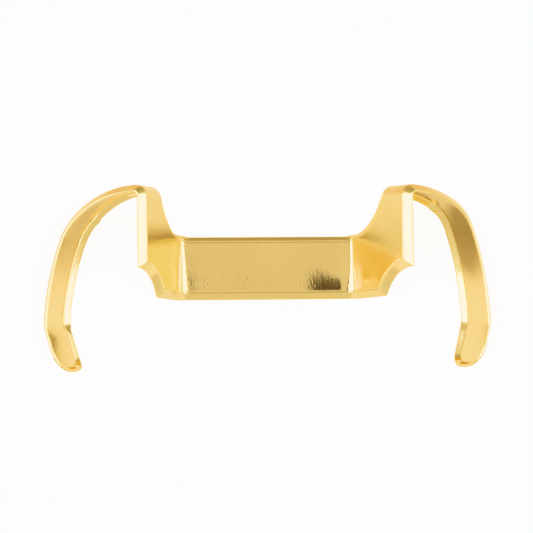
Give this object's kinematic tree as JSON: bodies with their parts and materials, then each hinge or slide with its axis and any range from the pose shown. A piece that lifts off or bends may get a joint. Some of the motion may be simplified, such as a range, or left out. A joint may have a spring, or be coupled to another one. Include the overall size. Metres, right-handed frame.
{
  "type": "saxophone ligature",
  "caption": "Saxophone ligature folded from gold-plated sheet: a flat reed plate, wings angled to the front, raised necks and hook-shaped spring arms that reach back and down.",
  "frame": {"origin": "centre of the overall box's bottom face, with the ligature lying on its back", "axes": "+X from the left arm to the right arm along the reed plate, +Y from the arm tips up to the tops of the necks, +Z out of the plate's front face, on the side that the wings fold to"},
  "size_m": [0.0348, 0.0142, 0.0071],
  "materials": {
    "gold_plate": "polished gold plate, satin on the flat faces"
  },
  "bodies": {
    "strip": {"reed_plate": "gold_plate", "left_wing": "gold_plate", "right_wing": "gold_plate"},
    "left_arm": {"left_spring_arm": "gold_plate"},
    "right_arm": {"right_spring_arm": "gold_plate"}
  },
  "joints": [
    {"name": "left_arm_flex", "type": "hinge", "parent": "strip", "child": "left_arm", "pos_m": [-0.00928, 0.00608, 0.00571], "axis": [0.5075, 0, -0.8616], "range_deg": [-2, 8], "stiffness_Nm_per_rad": 0.02},
    {"name": "right_arm_flex", "type": "hinge", "parent": "strip", "child": "right_arm", "pos_m": [0.00928, 0.00608, 0.00571], "axis": [0.5075, 0, 0.8616], "range_deg": [-2, 8], "stiffness_Nm_per_rad": 0.02}
  ]
}
